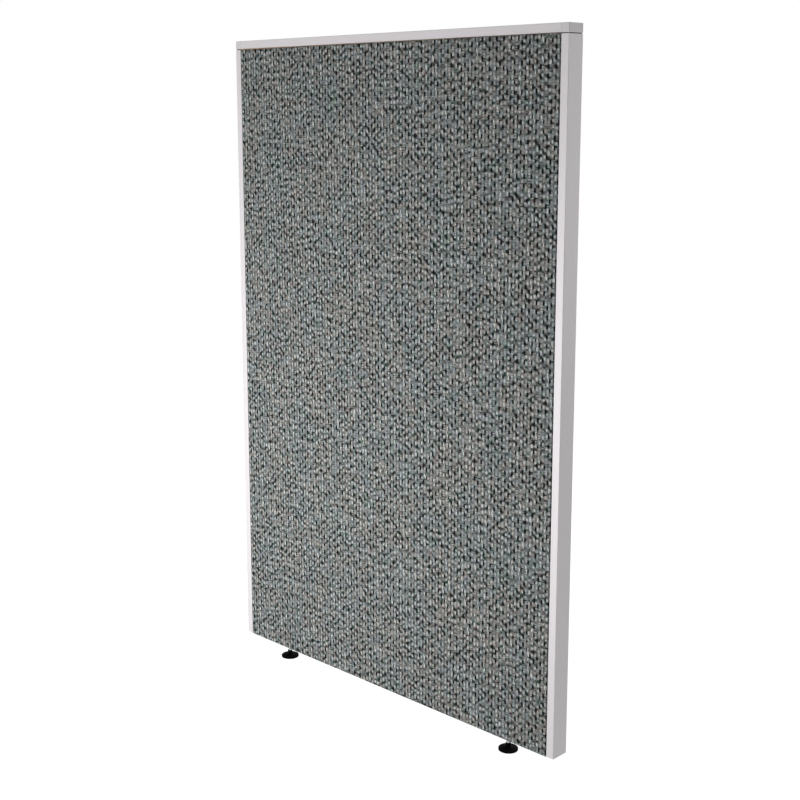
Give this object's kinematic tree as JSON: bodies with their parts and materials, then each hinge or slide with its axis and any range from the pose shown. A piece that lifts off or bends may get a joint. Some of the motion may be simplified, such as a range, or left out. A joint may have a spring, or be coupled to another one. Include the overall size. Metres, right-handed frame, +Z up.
{
  "type": "partition wall",
  "caption": "Free-standing upholstered screen wall: fabric faces on a timber core, aluminium posts and top rail with corner caps, on screw-in levelling feet.",
  "frame": {"origin": "on the floor, under the middle of the screen, midway between the two feet", "axes": "+Z up; +X along the width; the front face looks towards -Y"},
  "size_m": [1.2, 0.059, 1.841],
  "materials": {
    "frame_paint": "satin",
    "cap_plastic": "satin",
    "plug_plastic": "matte",
    "timber": "matte",
    "board": "matte",
    "fabric": "matte",
    "zinc_steel": "satin",
    "foot_plastic": "satin",
    "foot_rubber": "matte"
  },
  "bodies": {
    "panel": {"post_left": "frame_paint", "post_right": "frame_paint", "top_rail": "frame_paint", "corner_cap_left": "cap_plastic", "corner_cap_right": "cap_plastic", "post_plug_left": "plug_plastic", "post_plug_right": "plug_plastic", "stile_left": "timber", "stile_right": "timber", "head_batten": "timber", "mid_batten": "timber", "sill_batten": "timber", "dowels": "timber", "front_board": "board", "rear_board": "board", "front_fabric": "fabric", "rear_fabric": "fabric", "tee_nut_left": "zinc_steel", "tee_nut_right": "zinc_steel", "frame_screws": "zinc_steel", "cap_screws": "zinc_steel"},
    "foot_base_left": {"foot_base_left": "foot_plastic", "foot_sole_left": "foot_rubber"},
    "foot_stud_left": {"foot_stud_left": "zinc_steel"},
    "foot_base_right": {"foot_base_right": "foot_plastic", "foot_sole_right": "foot_rubber"},
    "foot_stud_right": {"foot_stud_right": "zinc_steel"}
  },
  "joints": [
    {"name": "foot_left_lift", "type": "slide", "parent": "panel", "child": "foot_base_left", "axis": [0, 0, -1], "range_m": [-0.012, 0.012]},
    {"name": "foot_left_turn", "type": "hinge", "parent": "foot_base_left", "child": "foot_stud_left", "pos_m": [-0.4327, 0, 0.04], "axis": [0, 0, 1], "range_deg": [-2880, 2880]},
    {"name": "foot_right_lift", "type": "slide", "parent": "panel", "child": "foot_base_right", "axis": [0, 0, -1], "range_m": [-0.012, 0.012]},
    {"name": "foot_right_turn", "type": "hinge", "parent": "foot_base_right", "child": "foot_stud_right", "pos_m": [0.4327, 0, 0.04], "axis": [0, 0, 1], "range_deg": [-2880, 2880]}
  ],
  "couplings": [
    {"joint": "foot_left_turn", "follows": "foot_left_lift", "rad_per_m": -4188.8},
    {"joint": "foot_right_turn", "follows": "foot_right_lift", "rad_per_m": -4188.8}
  ]
}
